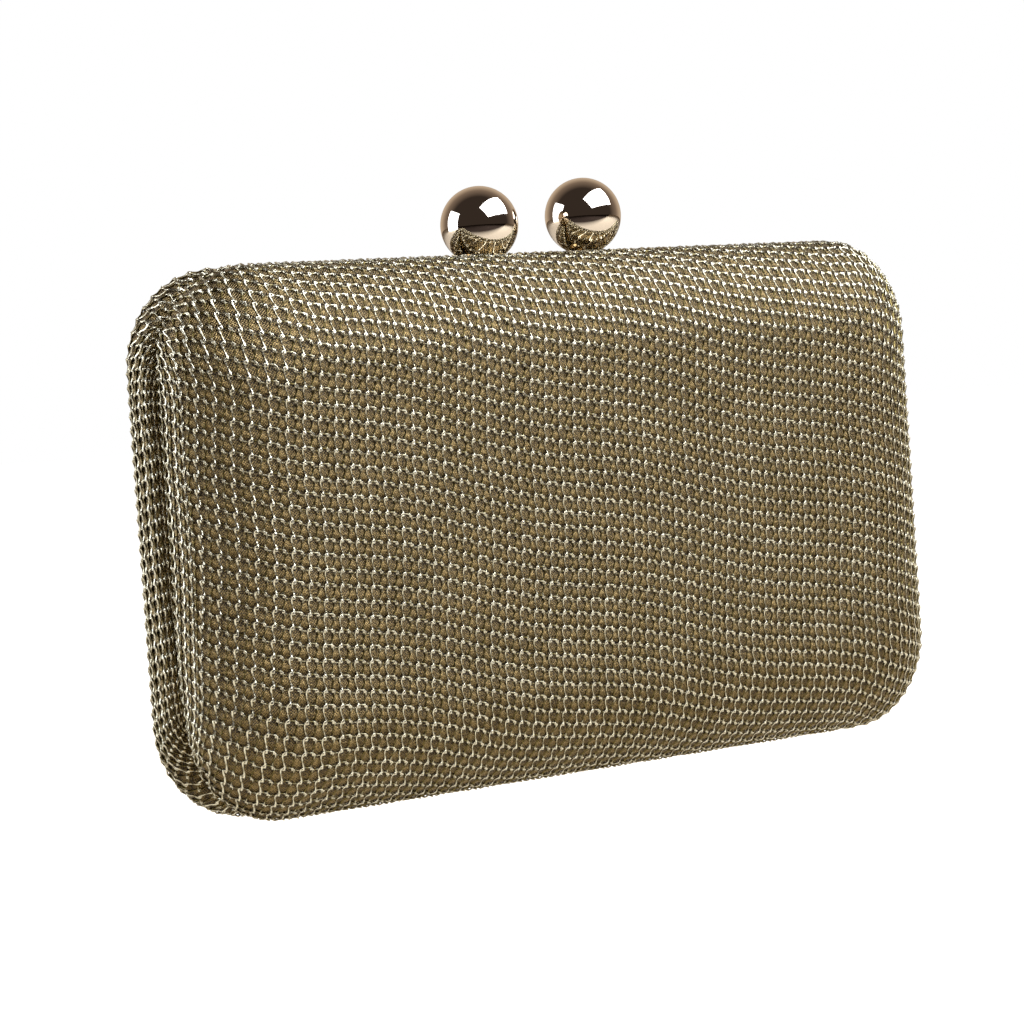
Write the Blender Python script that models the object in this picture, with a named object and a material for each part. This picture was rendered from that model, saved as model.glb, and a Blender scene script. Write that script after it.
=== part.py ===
"""Evening bag: a hard box clutch of two pillow-shaped halves, hinged at the bottom, with a ball kiss-lock.

Metres, +Z up, +X to the right, the front at -Y, the ground at Z = 0. Each half is a stack of nested layers
(knit cover, backing cloth, wadding, moulded shell) round a metal frame, which lies recessed in the groove
between the pillows.
"""

import math

import bmesh
import bpy

MM = 0.001

FRONT = -1
BACK = 1

# Driving dimensions of the closed bag
WIDTH = 205 * MM
HEIGHT = 118 * MM
HALF_DEPTH = 23.6 * MM
CORNER_RADIUS = 20.8 * MM

# The pillow's section: how far in from the widest line, and how far out from the seam
FACE_ROUNDING = 22.4 * MM  # width of the rounded border of the face
FACE_POWER = 1.7  # superellipse power of that border
CROWN_Y = (6.0 * MM, 7.6 * MM)  # the widest line is a narrow flat band between these
GROOVE_DEPTH = 5.5 * MM
GROOVE_HALF = 2.9 * MM
RIM_INSET = 8.8 * MM  # where the layers end, tucked against the frame's inner wall
CORNER_TIGHTENING = 0.55  # how fast the corner radius shrinks with the inset
FLANGE_SQUEEZE = 0.8  # the layers lie closer together where they tuck in at the frame
LEAST_TURN = 0.4 * MM  # radius of the innermost layer's turn into that flange

# The stack of layers, as depths below the outer surface, with a gap between neighbours
GAP = 0.3 * MM
KNIT = (0.0, 0.9 * MM)
BACKING = (1.2 * MM, 1.5 * MM)
WADDING = (1.8 * MM, 2.8 * MM)
SHELL = (3.1 * MM, 4.3 * MM)
LINING = (4.6 * MM, 5.5 * MM)

# Frame: a bar with an inner wall
FRAME_SEAM_Y = 0.15 * MM
FRAME_BAR_Y = 2.6 * MM
FRAME_WALL_Y = 8.0 * MM
FRAME_WALL = (9.1 * MM, 10.1 * MM)
LINING_INSET = 10.4 * MM
LINING_RIM_Y = 0.6 * MM
LINING_CLEAR = 0.5 * MM  # least inset past its wall at which the lining takes up the shell's curve
LINING_BEND = 1.5 * MM  # how far before that curve the wall ends

# Kiss-lock
BALL_RADIUS = 8.75 * MM
BALL_SPREAD = 29.5 * MM
BALL_CENTRE_Z = {FRONT: 124.6 * MM, BACK: 125.9 * MM}  # the back one stands a little higher
BALL_BORE_RADIUS = 1.9 * MM
BALL_BORE_DEPTH = 7.5 * MM
POST_RADIUS = 1.5 * MM
POST_TAIL_RADIUS = 0.8 * MM
ARM_HOLE_RADIUS = 1.1 * MM
ARM_HALF_LENGTH = 6.0 * MM
ARM_STEP = 1.0 * MM  # thickness of the foot and of the tongue
ARM_INNER_Y = 0.35 * MM
ARM_OUTER_Y = 2.4 * MM
ARM_REACH_Y = 2.2 * MM  # how far the tongue reaches over the other half
ARM_SCREW_X = 4.3 * MM

# Bottom hinge
HINGE_X = 48 * MM
HINGE_AXIS_Z = 2.4 * MM
KNUCKLE_RADIUS = 1.7 * MM
KNUCKLE_BORE_RADIUS = 1.1 * MM
PIN_RADIUS = 0.85 * MM
BARREL_HALF = 11 * MM
FRONT_KNUCKLE_HALF = 3.8 * MM
LEAF_HALF_LENGTH = 20 * MM
LEAF_THICKNESS = 0.8 * MM
LEAF_SCREW_X = 16 * MM
WEB_Y = (0.6 * MM, 1.65 * MM)

# Screws
SCREW_HEAD_RADIUS = 1.05 * MM
SCREW_HEAD_HEIGHT = 0.6 * MM
SCREW_CROWN = 0.6  # radius of the head's flat top, and the dome's share of its height, as fractions
SCREW_SHANK_RADIUS = 0.55 * MM
SCREW_HOLE_RADIUS = 0.85 * MM
SCREW_BITE = 2.4 * MM  # how far the shank goes into the frame bar
SCREW_Y = (ARM_INNER_Y + ARM_OUTER_Y) / 2
DRILL_REACH = 1 * MM  # how far a cutter runs past the wall that it goes through

# Slip pocket on the back lining
POCKET_WIDTH = 110 * MM
POCKET_HEIGHT = 52 * MM
POCKET_THICKNESS = 0.8 * MM
POCKET_CORNER = 6 * MM

# Facets
CORNER_STEPS = 5
SEAM_STEPS = 2
FACE_STEPS = 5
ROUND_STEPS = 16
BALL_STEPS = 20
SCREW_STEPS = 8

TOP_BAR_Z = HEIGHT - GROOVE_DEPTH
BOTTOM_BAR_Z = GROOVE_DEPTH


def clear_scene():
    for obj in list(bpy.data.objects):
        bpy.data.objects.remove(obj)


def make_material(name, colour, roughness, metallic):
    material = bpy.data.materials.new(name)
    material.use_nodes = True
    shader = material.node_tree.nodes["Principled BSDF"]
    shader.inputs["Base Color"].default_value = (*colour, 1.0)
    shader.inputs["Roughness"].default_value = roughness
    shader.inputs["Metallic"].default_value = metallic
    return material


def make_materials():
    return {
        "knit": make_material("metallic_yarn_knit", (0.42, 0.37, 0.21), 0.4, 0.8),
        "lame": make_material("gold_lame", (0.30, 0.22, 0.10), 0.45, 0.7),
        "foam": make_material("sponge_wadding", (0.80, 0.77, 0.66), 0.9, 0.0),
        "shell": make_material("moulded_shell", (0.10, 0.09, 0.08), 0.6, 0.0),
        "frame": make_material("gold_plated_frame", (0.83, 0.66, 0.42), 0.2, 1.0),
        "ball": make_material("gold_plated_ball", (0.88, 0.70, 0.50), 0.06, 1.0),
        "satin": make_material("satin_lining", (0.55, 0.43, 0.24), 0.45, 0.0),
        "screw": make_material("plated_screw", (0.75, 0.62, 0.42), 0.3, 1.0),
    }


def finish(name, bm, material, smooth_degrees=35):
    """The object of this name from a closed bmesh, faces out, smooth but for its sharp edges."""
    bmesh.ops.recalc_face_normals(bm, faces=bm.faces)
    mesh = bpy.data.meshes.new(name)
    bm.to_mesh(mesh)
    bm.free()
    mesh.shade_smooth()
    mesh.set_sharp_from_angle(angle=math.radians(smooth_degrees))
    mesh.materials.append(material)
    obj = bpy.data.objects.new(name, mesh)
    bpy.context.scene.collection.objects.link(obj)
    return obj


def rim_points(inset):
    """The (x, z) points of the bag's outline, moved in by inset: a rounded rectangle."""
    radius = CORNER_RADIUS - CORNER_TIGHTENING * inset
    half_width = WIDTH / 2 - inset - radius
    half_height = HEIGHT / 2 - inset - radius
    points = []
    for corner, (sx, sz) in enumerate(((1, 1), (-1, 1), (-1, -1), (1, -1))):
        for step in range(CORNER_STEPS + 1):
            angle = math.radians(90 * (corner + step / CORNER_STEPS))
            points.append(
                (
                    sx * half_width + radius * math.cos(angle),
                    HEIGHT / 2 + sz * half_height + radius * math.sin(angle),
                )
            )
    return points


def pillow_profile(depth):
    """The (inset, y) points of a layer's surface, this far below the outer one, from rim to flat face."""
    flange_y = GROOVE_HALF + FLANGE_SQUEEZE * depth
    turn_y = max(CROWN_Y[0], flange_y + LEAST_TURN)
    seam_radius = (GROOVE_DEPTH - depth, turn_y - flange_y)
    face_radius = (FACE_ROUNDING - depth, HALF_DEPTH - CROWN_Y[1] - depth)
    profile = [(RIM_INSET, flange_y)]
    for step in range(SEAM_STEPS + 1):
        angle = math.radians(90 * (1 - step / SEAM_STEPS))
        profile.append(
            (
                GROOVE_DEPTH - seam_radius[0] * math.cos(angle),
                turn_y - seam_radius[1] * math.sin(angle),
            )
        )
    for step in range(FACE_STEPS + 1):
        angle = math.radians(90 * step / FACE_STEPS)
        out = max(math.cos(angle), 0.0) ** (2 / FACE_POWER)
        up = math.sin(angle) ** (2 / FACE_POWER)
        profile.append(
            (FACE_ROUNDING - face_radius[0] * out, CROWN_Y[1] + face_radius[1] * up)
        )
    return profile


def lining_profile(depth):
    """As pillow_profile, for the lining tray: a straight wall, then the shell's own curve."""
    wall = LINING_INSET + depth - LINING[0]
    profile = [(wall, LINING_RIM_Y)]
    for inset, y in pillow_profile(depth)[SEAM_STEPS + 2 :]:
        if inset > wall + LINING_CLEAR:
            if len(profile) == 1:
                profile.append((wall, y - LINING_BEND))
            profile.append((inset, y))
    return profile


def add_loops(bm, profile, side):
    return [
        [bm.verts.new((x, side * y, z)) for x, z in rim_points(inset)]
        for inset, y in profile
    ]


def bridge(bm, first, second):
    count = len(first)
    for i in range(count):
        j = (i + 1) % count
        bm.faces.new((first[i], first[j], second[j], second[i]))


def make_tray(name, profile_of, layer, side, material):
    """A closed tray between two depths: an outer skin, an inner skin, and the rim that joins them."""
    bm = bmesh.new()
    skins = [add_loops(bm, profile_of(depth), side) for depth in layer]
    for loops in skins:
        for first, second in zip(loops, loops[1:]):
            bridge(bm, first, second)
        bm.faces.new(loops[-1])
    bridge(bm, skins[0][0], skins[1][0])
    return finish(name, bm, material)


def make_ring(name, section, side, material):
    """A section of (inset, y) points swept round the bag's outline."""
    bm = bmesh.new()
    loops = add_loops(bm, section, side)
    for first, second in zip(loops, loops[1:] + loops[:1]):
        bridge(bm, first, second)
    return finish(name, bm, material)


def make_turned(name, profile, centre, material, steps=ROUND_STEPS):
    """A body turned about a vertical axis from (radius, z) points, the first and last of them on the axis."""
    bm = bmesh.new()
    x0, y0 = centre
    ends = [bm.verts.new((x0, y0, z)) for _, z in (profile[0], profile[-1])]
    loops = [
        [
            bm.verts.new(
                (
                    x0 + radius * math.cos(2 * math.pi * k / steps),
                    y0 + radius * math.sin(2 * math.pi * k / steps),
                    z,
                )
            )
            for k in range(steps)
        ]
        for radius, z in profile[1:-1]
    ]
    for first, second in zip(loops, loops[1:]):
        bridge(bm, first, second)
    for end, loop in zip(ends, (loops[0], loops[-1])):
        for k in range(steps):
            bm.faces.new((end, loop[k], loop[(k + 1) % steps]))
    return finish(name, bm, material)


def make_extrusion(name, outline, x_from, x_to, material):
    """A flat (y, z) outline extruded along X."""
    bm = bmesh.new()
    start, end = (
        [bm.verts.new((x, y, z)) for y, z in outline] for x in (x_from, x_to)
    )
    bridge(bm, start, end)
    bm.faces.new(start)
    bm.faces.new(end)
    return finish(name, bm, material)


def circle_outline(radius, centre_y, centre_z, steps=ROUND_STEPS):
    return [
        (
            centre_y + radius * math.cos(2 * math.pi * k / steps),
            centre_z + radius * math.sin(2 * math.pi * k / steps),
        )
        for k in range(steps)
    ]


def combine(obj, other, operation):
    """Applies a Boolean with another object, which becomes a hidden helper."""
    other.hide_render = True
    other.display_type = "WIRE"
    modifier = obj.modifiers.new(f"{operation.lower()}_{other.name}", "BOOLEAN")
    modifier.operation = operation
    modifier.object = other


def drill(obj, name, radius, x, y, z_from, z_to):
    """Cuts a vertical hole."""
    profile = [(0, z_to), (radius, z_to), (radius, z_from), (0, z_from)]
    cutter = make_turned(f"{name}_cutter", profile, (x, y), None)
    combine(obj, cutter, "DIFFERENCE")


def ball_x(side):
    """The front half carries the left ball, the back half the right one."""
    return side * BALL_SPREAD / 2


def make_layers(half, side, materials):
    layers = (
        ("knit_cover", pillow_profile, KNIT, "knit"),
        ("backing_cloth", pillow_profile, BACKING, "lame"),
        ("wadding", pillow_profile, WADDING, "foam"),
        ("moulded_shell", pillow_profile, SHELL, "shell"),
        ("lining_tray", lining_profile, LINING, "satin"),
    )
    for piece, profile_of, layer, material in layers:
        make_tray(f"{half}_{piece}", profile_of, layer, side, materials[material])


def make_frame(half, side, materials):
    section = (
        (GROOVE_DEPTH, FRAME_SEAM_Y),
        (FRAME_WALL[1], FRAME_SEAM_Y),
        (FRAME_WALL[1], FRAME_WALL_Y),
        (FRAME_WALL[0], FRAME_WALL_Y),
        (FRAME_WALL[0], FRAME_BAR_Y),
        (GROOVE_DEPTH, FRAME_BAR_Y),
    )
    frame = make_ring(f"{half}_frame", section, side, materials["frame"])
    y = side * SCREW_Y
    for x, label in clasp_screw_places(side):
        depth = TOP_BAR_Z - SCREW_BITE - GAP
        drill(frame, f"{half}_top_{label}", SCREW_HOLE_RADIUS, x, y, depth, HEIGHT)
    for x, label in hinge_screw_places():
        depth = BOTTOM_BAR_Z + SCREW_BITE + GAP
        drill(frame, f"{half}_bottom_{label}", SCREW_HOLE_RADIUS, x, y, 0, depth)


def clasp_screw_places(side):
    return [(ball_x(side) + s * ARM_SCREW_X, n) for s, n in ((-1, "left"), (1, "right"))]


def hinge_screw_places():
    return [
        (sign * (HINGE_X + offset), f"{hinge}_{end}")
        for sign, hinge in ((-1, "left"), (1, "right"))
        for offset, end in ((LEAF_SCREW_X, "outer"), (-LEAF_SCREW_X, "inner"))
    ]


def make_screw(name, x, y, seat_z, direction, material):
    """A dome-headed screw whose head sits on seat_z and whose shank goes the other way into the bar.

    direction is 1 where the head is on top and -1 where it is underneath.
    """
    head = seat_z + direction * GAP
    top = head + direction * SCREW_HEAD_HEIGHT
    shoulder = head + direction * SCREW_HEAD_HEIGHT * (1 - SCREW_CROWN)
    tip = seat_z - direction * (ARM_STEP * 2 if direction > 0 else LEAF_THICKNESS)
    tip -= direction * (GAP + SCREW_BITE)
    profile = [
        (0, top),
        (SCREW_HEAD_RADIUS * SCREW_CROWN, top),
        (SCREW_HEAD_RADIUS, shoulder),
        (SCREW_HEAD_RADIUS, head),
        (SCREW_SHANK_RADIUS, head),
        (SCREW_SHANK_RADIUS, tip),
        (0, tip),
    ]
    make_turned(name, profile, (x, y), material, steps=SCREW_STEPS)


def make_clasp(half, side, materials):
    """The arm, with its tongue over the other half's frame, its two screws, the post and the ball."""
    x = ball_x(side)
    foot = TOP_BAR_Z + GAP
    step = foot + ARM_STEP
    top = step + ARM_STEP
    outline = [
        (side * ARM_OUTER_Y, foot),
        (side * ARM_INNER_Y, foot),
        (side * ARM_INNER_Y, step),
        (-side * ARM_REACH_Y, step),
        (-side * ARM_REACH_Y, top),
        (side * ARM_OUTER_Y, top),
    ]
    arm = make_extrusion(
        f"{half}_clasp_arm", outline, x - ARM_HALF_LENGTH, x + ARM_HALF_LENGTH, materials["frame"]
    )
    ends = foot - DRILL_REACH, top + DRILL_REACH
    drill(arm, f"{half}_arm_post", ARM_HOLE_RADIUS, x, 0, *ends)
    for screw_x, label in clasp_screw_places(side):
        y = side * SCREW_Y
        drill(arm, f"{half}_arm_{label}", SCREW_HOLE_RADIUS, screw_x, y, *ends)
        make_screw(f"{half}_clasp_screw_{label}", screw_x, y, top, 1, materials["screw"])
    centre_z = BALL_CENTRE_Z[side]
    ball_bottom = centre_z - math.sqrt(BALL_RADIUS**2 - BALL_BORE_RADIUS**2)
    bore_end = centre_z - BALL_RADIUS + BALL_BORE_DEPTH
    post = [
        (0, bore_end - GAP),
        (POST_RADIUS, bore_end - GAP),
        (POST_RADIUS, top + GAP),
        (POST_TAIL_RADIUS, top + GAP),
        (POST_TAIL_RADIUS, step + GAP),
        (0, step + GAP),
    ]
    make_turned(f"{half}_ball_post", post, (x, 0), materials["frame"])
    meridian = [
        (BALL_RADIUS * math.sin(angle), centre_z + BALL_RADIUS * math.cos(angle))
        for angle in (2 * math.pi * k / BALL_STEPS for k in range(1, BALL_STEPS // 2))
    ]
    ball = [(0, centre_z + BALL_RADIUS), *meridian]
    ball += [(BALL_BORE_RADIUS, ball_bottom), (BALL_BORE_RADIUS, bore_end), (0, bore_end)]
    make_turned(f"{half}_ball", ball, (x, 0), materials["ball"], steps=BALL_STEPS)


def make_knuckle(name, side, x_from, x_to, material):
    """One closed loop of a hinge leaf round the pin, with the web that joins it to the plate."""
    top = BOTTOM_BAR_Z - GAP - LEAF_THICKNESS / 2
    barrel = make_extrusion(
        name, circle_outline(KNUCKLE_RADIUS, 0, HINGE_AXIS_Z), x_from, x_to, material
    )
    web = [
        (side * WEB_Y[0], HINGE_AXIS_Z),
        (side * WEB_Y[1], HINGE_AXIS_Z),
        (side * WEB_Y[1], top),
        (side * WEB_Y[0], top),
    ]
    web = make_extrusion(f"{name}_web", web, x_from, x_to, None)
    combine(barrel, web, "UNION")
    return barrel


def make_leaf(half, side, hinge, place, material):
    """A hinge leaf: a plate along the frame's bottom bar with its knuckles and its two screws."""
    top = BOTTOM_BAR_Z - GAP
    bottom = top - LEAF_THICKNESS
    outline = [
        (side * ARM_INNER_Y, bottom),
        (side * ARM_OUTER_Y, bottom),
        (side * ARM_OUTER_Y, top),
        (side * ARM_INNER_Y, top),
    ]
    name = f"{half}_hinge_leaf_{hinge}"
    leaf = make_extrusion(
        name, outline, place - LEAF_HALF_LENGTH, place + LEAF_HALF_LENGTH, material
    )
    if side == FRONT:
        spans = ((-FRONT_KNUCKLE_HALF, FRONT_KNUCKLE_HALF),)
    else:
        inner = FRONT_KNUCKLE_HALF + GAP
        spans = ((-BARREL_HALF, -inner), (inner, BARREL_HALF))
    for number, (start, end) in enumerate(spans):
        knuckle = make_knuckle(f"{name}_knuckle_{number}", side, place + start, place + end, None)
        combine(leaf, knuckle, "UNION")
    bore = circle_outline(KNUCKLE_BORE_RADIUS, 0, HINGE_AXIS_Z)
    reach = BARREL_HALF + DRILL_REACH
    cutter = make_extrusion(f"{name}_bore", bore, place - reach, place + reach, None)
    combine(leaf, cutter, "DIFFERENCE")
    return leaf


def make_hinges(half, side, materials):
    for place, hinge in ((-HINGE_X, "left"), (HINGE_X, "right")):
        leaf = make_leaf(half, side, hinge, place, materials["frame"])
        for x, label in hinge_screw_places():
            if not label.startswith(hinge):
                continue
            y = side * SCREW_Y
            drill(leaf, f"{half}_leaf_{label}", SCREW_HOLE_RADIUS, x, y, 0, BOTTOM_BAR_Z)
            seat = BOTTOM_BAR_Z - GAP - LEAF_THICKNESS
            make_screw(f"{half}_hinge_screw_{label}", x, y, seat, -1, materials["screw"])


def make_pins(materials):
    outline = circle_outline(PIN_RADIUS, 0, HINGE_AXIS_Z)
    for place, hinge in ((-HINGE_X, "left"), (HINGE_X, "right")):
        ends = place - BARREL_HALF, place + BARREL_HALF
        make_extrusion(f"hinge_pin_{hinge}", outline, *ends, materials["frame"])


def make_pocket(materials):
    """The flat slip pocket stitched to the floor of the back lining, open at its top edge."""
    outer_y = HALF_DEPTH - LINING[1] - GAP
    inner_y = outer_y - POCKET_THICKNESS
    half_width = POCKET_WIDTH / 2
    low = (HEIGHT - POCKET_HEIGHT) / 2
    high = low + POCKET_HEIGHT
    outline = [(half_width, high), (-half_width, high)]
    for sx, start in ((-1, 180), (1, 270)):
        for step in range(CORNER_STEPS + 1):
            angle = math.radians(start + 90 * step / CORNER_STEPS)
            outline.append(
                (
                    sx * (half_width - POCKET_CORNER) + POCKET_CORNER * math.cos(angle),
                    low + POCKET_CORNER + POCKET_CORNER * math.sin(angle),
                )
            )
    bm = bmesh.new()
    near, far = ([bm.verts.new((x, y, z)) for x, z in outline] for y in (inner_y, outer_y))
    bridge(bm, near, far)
    bm.faces.new(near)
    bm.faces.new(far)
    finish("inner_pocket", bm, materials["satin"])


def main():
    clear_scene()
    materials = make_materials()
    for half, side in (("front", FRONT), ("back", BACK)):
        make_layers(half, side, materials)
        make_frame(half, side, materials)
        make_clasp(half, side, materials)
        make_hinges(half, side, materials)
    make_pins(materials)
    make_pocket(materials)


main()
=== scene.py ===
"""Evening bag, dressed: knitted metallic yarn over gold lame, a ball kiss-lock and a satin lining.

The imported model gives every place. Each class below makes one sub-assembly of the bag, once for each half.
The studio, with its pale floor, soft lights and camera, comes last.
"""

from __future__ import annotations

import logging
import math
from dataclasses import dataclass, field
from enum import Enum
from typing import Any, Sequence

import bmesh
import bpy
import numpy as np
from mathutils import Matrix, Vector

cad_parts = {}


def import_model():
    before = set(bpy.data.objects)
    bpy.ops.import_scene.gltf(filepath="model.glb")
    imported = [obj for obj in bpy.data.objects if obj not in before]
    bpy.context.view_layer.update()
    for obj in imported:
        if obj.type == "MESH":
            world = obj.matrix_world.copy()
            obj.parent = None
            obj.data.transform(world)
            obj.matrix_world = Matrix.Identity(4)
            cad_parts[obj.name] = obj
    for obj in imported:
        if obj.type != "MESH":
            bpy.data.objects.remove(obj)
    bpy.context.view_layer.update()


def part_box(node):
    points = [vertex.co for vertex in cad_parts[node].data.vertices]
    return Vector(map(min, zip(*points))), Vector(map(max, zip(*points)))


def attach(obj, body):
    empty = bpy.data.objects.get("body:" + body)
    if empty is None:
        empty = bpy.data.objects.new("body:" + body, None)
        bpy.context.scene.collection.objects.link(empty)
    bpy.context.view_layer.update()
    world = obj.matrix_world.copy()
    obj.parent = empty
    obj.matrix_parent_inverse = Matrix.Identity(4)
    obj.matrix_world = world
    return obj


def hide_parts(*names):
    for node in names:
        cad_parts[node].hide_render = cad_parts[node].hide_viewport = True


Tree, Node, Material, Object = bpy.types.NodeTree, bpy.types.Node, bpy.types.Material, bpy.types.Object
log = logging.getLogger("evening_bag")

MM = 0.001
CHART_SPAN = 0.4  # metres of cloth that one unit of a piece's UV map stands for
CHART_UV = "cloth"


class Half(Enum):
    """The two halves of the bag; the value is the side of the seam, along Y, that the half is on."""

    FRONT = -1
    BACK = 1

    @property
    def label(self) -> str:
        """The first word of the half's piece names."""
        return self.name.lower()

    @property
    def body(self) -> str:
        """The CAD body that the half's pieces ride on."""
        return f"{self.label}_half"

    def node(self, piece: str) -> str:
        """The name of one of the half's CAD nodes."""
        return f"{self.label}_{piece}"


def show(obj: Object) -> None:
    """Puts an object in the scene."""
    bpy.context.scene.collection.objects.link(obj)


# ---------------------------------------------------------------- nodes and colours


def srgb(hex_colour: str) -> tuple[float, float, float, float]:
    """Turns an sRGB hex colour into linear RGBA.

    Args:
        hex_colour: the colour, as "#rrggbb".

    Returns:
        Red, green, blue and alpha for a colour socket.
    """
    channels = (int(hex_colour[i : i + 2], 16) / 255 for i in (1, 3, 5))
    linear = (c / 12.92 if c <= 0.04045 else ((c + 0.055) / 1.055) ** 2.4 for c in channels)
    return (*linear, 1.0)


def feed(tree: Tree, node: Node, inputs: Any) -> None:
    """Sets a node's inputs.

    Args:
        tree: the tree that holds the node.
        node: the node.
        inputs: values, sockets or nodes for its inputs, in order, or by socket name or number.
    """
    for key, value in inputs.items() if isinstance(inputs, dict) else enumerate(inputs):
        if isinstance(value, Node):
            value = next(s for s in value.outputs if s.enabled)
        if isinstance(value, bpy.types.NodeSocket):
            tree.links.new(value, node.inputs[key])
        elif value is not None:
            node.inputs[key].default_value = value


def add(tree: Tree, kind: str, inputs: Any = (), **settings: Any) -> Node:
    """Adds a node with its settings and links.

    Args:
        tree: the tree that gets the node.
        kind: the node's type name.
        inputs: values, sockets or nodes for its inputs, in order, or by socket name or number.
        settings: the node's own properties.

    Returns:
        The new node.
    """
    node = tree.nodes.new(kind)
    for name, value in settings.items():
        setattr(node, name, value)
    feed(tree, node, inputs)
    return node


def calc(tree: Tree, operation: str, *values: Any) -> Node:
    """Adds one sum on numbers."""
    return add(tree, "ShaderNodeMath", values, operation=operation)


def calc_vector(tree: Tree, operation: str, *values: Any) -> Node:
    """Adds one sum on vectors."""
    return add(tree, "ShaderNodeVectorMath", values, operation=operation)


def scaled(tree: Tree, vector: Any, factor: Any) -> Node:
    """Adds a vector times a number."""
    return add(tree, "ShaderNodeVectorMath", {0: vector, "Scale": factor}, operation="SCALE")


def split(tree: Tree, vector: Any) -> Any:
    """Adds a vector's three parts."""
    return add(tree, "ShaderNodeSeparateXYZ", [vector]).outputs


def noise(tree: Tree, vector: Any, scale: float, detail: float, **inputs: float) -> Node:
    """Adds a noise texture."""
    return add(tree, "ShaderNodeTexNoise", {"Vector": vector, "Scale": scale, "Detail": detail, **inputs})


def own_place(tree: Tree) -> bpy.types.NodeSocket:
    """Adds the place on the piece itself, in its own metres."""
    return add(tree, "ShaderNodeTexCoord").outputs["Object"]


def shape_of(tree: Tree, source: Any, **inputs: Any) -> bpy.types.NodeSocket:
    """Adds the geometry of the object that an input names."""
    return add(tree, "GeometryNodeObjectInfo", {"Object": source, **inputs}).outputs["Geometry"]


def carried(tree: Tree, name: str, kind: str = "FLOAT") -> bpy.types.NodeSocket:
    """Adds the reading of an attribute that the geometry carries."""
    return add(tree, "GeometryNodeInputNamedAttribute", {"Name": name}, data_type=kind).outputs["Attribute"]


def ramp(tree: Tree, fac: Any, *stops: tuple[float, str]) -> Node:
    """Adds a colour ramp.

    Args:
        tree: the tree that gets the node.
        fac: the socket or node that drives it.
        stops: places from 0 to 1, each with its sRGB hex colour.

    Returns:
        The colour ramp node.
    """
    node = add(tree, "ShaderNodeValToRGB", [fac])
    elements = node.color_ramp.elements
    while len(elements) < len(stops):
        elements.new(0.5)
    for element, (place, colour) in zip(elements, stops):
        element.position = place
        element.color = srgb(colour)
    return node


def emboss(tree: Tree, height: Any, strength: float, reach: float, under: Any = None) -> Node:
    """Adds a bump.

    Args:
        tree: the material's tree.
        height: the socket or node that gives the height.
        strength: how strongly it shows.
        reach: how high a height of 1 is, in millimetres.
        under: a bump that it lies on, if any.

    Returns:
        The bump, for a Normal input.
    """
    return add(tree, "ShaderNodeBump",
               {"Height": height, "Strength": strength, "Distance": reach * MM, "Normal": under})


def new_material(name: str) -> tuple[Material, Tree, Node]:
    """Makes a material that holds one Principled BSDF.

    Args:
        name: the material's name.

    Returns:
        The material, its tree and the shader node.
    """
    material = bpy.data.materials.new(name)
    material.use_nodes = True
    return material, material.node_tree, material.node_tree.nodes["Principled BSDF"]


# ---------------------------------------------------------------- how the knit lies on the cloth's chart


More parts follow.
